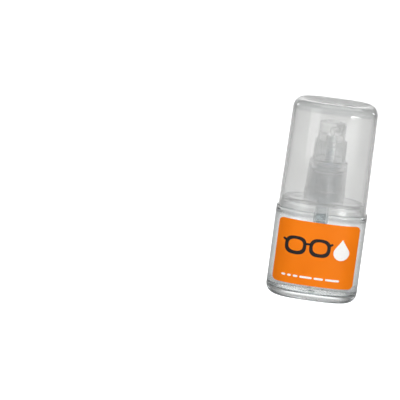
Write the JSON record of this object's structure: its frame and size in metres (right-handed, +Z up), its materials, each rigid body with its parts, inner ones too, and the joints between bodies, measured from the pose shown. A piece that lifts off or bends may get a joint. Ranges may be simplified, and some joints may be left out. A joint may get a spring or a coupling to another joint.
{
  "type": "lens cleaning spray",
  "caption": "Clear oval pocket bottle with an orange front label, a screw-on fine mist finger pump and a frosted pull-off overcap.",
  "frame": {"origin": "centre of the flat standing ring under the bottle, on the surface it stands on", "axes": "+Z up the bottle and the pump, +X to the right and -Y out of the label, seen from the front"},
  "size_m": [0.0406, 0.0276, 0.0886],
  "materials": {
    "clear_pet": "clear polished PET plastic",
    "liquid": "clear watery cleaning fluid",
    "label": "printed film label, satin",
    "frosted_pp": "translucent polypropylene, smooth outside",
    "natural_pp": "natural translucent polypropylene",
    "milky_pe": "milky polyethylene",
    "gasket": "soft grey foam seal",
    "spring_steel": "stainless wire and ball"
  },
  "bodies": {
    "bottle": {"bottle": "clear_pet", "cleaning_liquid": "liquid", "front_label": "label"},
    "overcap": {"overcap": "frosted_pp"},
    "pump": {"pump_housing": "natural_pp", "neck_gasket": "gasket", "stem_retainer": "milky_pe", "dip_tube": "milky_pe", "pump_spring": "spring_steel"},
    "closure": {"closure": "natural_pp"},
    "stem": {"stem": "milky_pe", "piston": "milky_pe"},
    "button": {"actuator": "natural_pp", "nozzle_insert": "milky_pe"},
    "poppet": {"poppet": "milky_pe"},
    "inlet_ball": {"inlet_ball": "spring_steel"}
  },
  "joints": [
    {"name": "cap_lift", "type": "slide", "parent": "bottle", "child": "overcap", "axis": [0, 0, 1], "range_m": [0, 0.06]},
    {"name": "pump_rise", "type": "slide", "parent": "bottle", "child": "pump", "axis": [0, 0, 1], "range_m": [0, 0.00476]},
    {"name": "closure_turn", "type": "hinge", "parent": "pump", "child": "closure", "pos_m": [0, 0, 0.045], "axis": [0, 0, 1], "range_deg": [0, 540]},
    {"name": "pump_press", "type": "slide", "parent": "pump", "child": "stem", "axis": [0, 0, -1], "range_m": [0, 0.0036], "stiffness_N_per_m": 500, "springref_m": -0.004, "deforming": ["pump_spring"]},
    {"name": "actuator_swivel", "type": "hinge", "parent": "stem", "child": "button", "pos_m": [0, 0, 0.0706], "axis": [0, 0, 1], "continuous": true},
    {"name": "poppet_open", "type": "slide", "parent": "stem", "child": "poppet", "axis": [0, 0, -1], "range_m": [0, 0.0005], "stiffness_N_per_m": 300, "springref_m": -0.004},
    {"name": "ball_lift", "type": "slide", "parent": "pump", "child": "inlet_ball", "axis": [0, 0, 1], "range_m": [0, 0.001]}
  ],
  "couplings": [
    {"joint": "closure_turn", "follows": "pump_rise", "rad_per_m": 1979}
  ]
}
